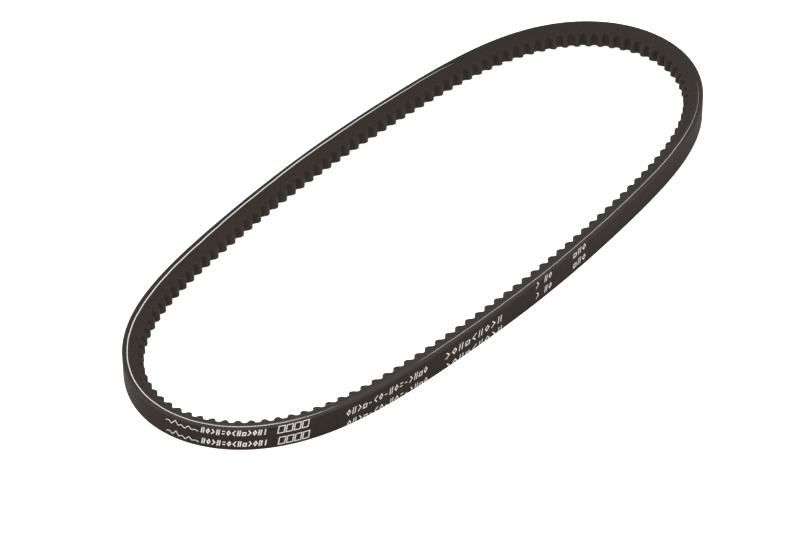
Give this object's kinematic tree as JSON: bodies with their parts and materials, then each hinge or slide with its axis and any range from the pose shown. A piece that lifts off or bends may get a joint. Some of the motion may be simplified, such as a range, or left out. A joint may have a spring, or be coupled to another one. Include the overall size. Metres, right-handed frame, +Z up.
{
  "type": "v belt",
  "caption": "Endless narrow V-belt with raw cut flanks and moulded cogs inside, lying on its side as a free oval loop that flexes",
  "frame": {"origin": "middle of the free loop, on the surface that the belt lies on", "axes": "+X along the loop's long axis, +Y across the loop, +Z up, along the belt's width and a pulley's shaft"},
  "size_m": [0.2842, 0.1144, 0.01],
  "materials": {
    "back_canvas": "rubberised woven canvas, matt black",
    "upper_adhesion_gum": "raw cut rubber, matt",
    "tension_cord_ply": "twisted polyester cord, sliced where it reaches a flank",
    "lower_adhesion_gum": "raw cut rubber, matt",
    "compression_rubber": "raw cut fibre-filled rubber, matt",
    "cog_canvas": "rubberised woven canvas, matt black"
  },
  "bodies": {
    "near_run": {"near_run_back_canvas": "back_canvas", "near_run_upper_adhesion_gum": "upper_adhesion_gum", "near_run_tension_cord_ply": "tension_cord_ply", "near_run_lower_adhesion_gum": "lower_adhesion_gum", "near_run_compression_rubber": "compression_rubber", "near_run_cog_canvas": "cog_canvas"},
    "left_near_bend": {"left_near_bend_back_canvas": "back_canvas", "left_near_bend_upper_adhesion_gum": "upper_adhesion_gum", "left_near_bend_tension_cord_ply": "tension_cord_ply", "left_near_bend_lower_adhesion_gum": "lower_adhesion_gum", "left_near_bend_compression_rubber": "compression_rubber", "left_near_bend_cog_canvas": "cog_canvas"},
    "left_far_bend": {"left_far_bend_back_canvas": "back_canvas", "left_far_bend_upper_adhesion_gum": "upper_adhesion_gum", "left_far_bend_tension_cord_ply": "tension_cord_ply", "left_far_bend_lower_adhesion_gum": "lower_adhesion_gum", "left_far_bend_compression_rubber": "compression_rubber", "left_far_bend_cog_canvas": "cog_canvas"},
    "far_run_left": {"far_run_left_back_canvas": "back_canvas", "far_run_left_upper_adhesion_gum": "upper_adhesion_gum", "far_run_left_tension_cord_ply": "tension_cord_ply", "far_run_left_lower_adhesion_gum": "lower_adhesion_gum", "far_run_left_compression_rubber": "compression_rubber", "far_run_left_cog_canvas": "cog_canvas"},
    "right_near_bend": {"right_near_bend_back_canvas": "back_canvas", "right_near_bend_upper_adhesion_gum": "upper_adhesion_gum", "right_near_bend_tension_cord_ply": "tension_cord_ply", "right_near_bend_lower_adhesion_gum": "lower_adhesion_gum", "right_near_bend_compression_rubber": "compression_rubber", "right_near_bend_cog_canvas": "cog_canvas"},
    "right_far_bend": {"right_far_bend_back_canvas": "back_canvas", "right_far_bend_upper_adhesion_gum": "upper_adhesion_gum", "right_far_bend_tension_cord_ply": "tension_cord_ply", "right_far_bend_lower_adhesion_gum": "lower_adhesion_gum", "right_far_bend_compression_rubber": "compression_rubber", "right_far_bend_cog_canvas": "cog_canvas"},
    "far_run_right": {"far_run_right_back_canvas": "back_canvas", "far_run_right_upper_adhesion_gum": "upper_adhesion_gum", "far_run_right_tension_cord_ply": "tension_cord_ply", "far_run_right_lower_adhesion_gum": "lower_adhesion_gum", "far_run_right_compression_rubber": "compression_rubber", "far_run_right_cog_canvas": "cog_canvas"}
  },
  "joints": [
    {"name": "left_near_shoulder", "type": "hinge", "parent": "near_run", "child": "left_near_bend", "pos_m": [-0.095, -0.04673, 0.005], "axis": [0, 0, 1], "range_deg": [-10, 10], "stiffness_Nm_per_rad": 0.05},
    {"name": "left_end", "type": "hinge", "parent": "left_near_bend", "child": "left_far_bend", "pos_m": [-0.1403, 0, 0.005], "axis": [0, 0, 1], "range_deg": [-20, 20], "stiffness_Nm_per_rad": 0.05},
    {"name": "left_far_shoulder", "type": "hinge", "parent": "left_far_bend", "child": "far_run_left", "pos_m": [-0.095, 0.04673, 0.005], "axis": [0, 0, 1], "range_deg": [-10, 10], "stiffness_Nm_per_rad": 0.05},
    {"name": "right_near_shoulder", "type": "hinge", "parent": "near_run", "child": "right_near_bend", "pos_m": [0.095, -0.04673, 0.005], "axis": [0, 0, 1], "range_deg": [-10, 10], "stiffness_Nm_per_rad": 0.05},
    {"name": "right_end", "type": "hinge", "parent": "right_near_bend", "child": "right_far_bend", "pos_m": [0.1403, 0, 0.005], "axis": [0, 0, 1], "range_deg": [-20, 20], "stiffness_Nm_per_rad": 0.05},
    {"name": "right_far_shoulder", "type": "hinge", "parent": "right_far_bend", "child": "far_run_right", "pos_m": [0.095, 0.04673, 0.005], "axis": [0, 0, 1], "range_deg": [-10, 10], "stiffness_Nm_per_rad": 0.05}
  ],
  "couplings": [
    {"joint": "left_end", "follows": "left_near_shoulder", "ratio": -2},
    {"joint": "left_far_shoulder", "follows": "left_near_shoulder", "ratio": 1},
    {"joint": "right_near_shoulder", "follows": "left_near_shoulder", "ratio": -1},
    {"joint": "right_end", "follows": "left_near_shoulder", "ratio": 2},
    {"joint": "right_far_shoulder", "follows": "left_near_shoulder", "ratio": -1}
  ]
}
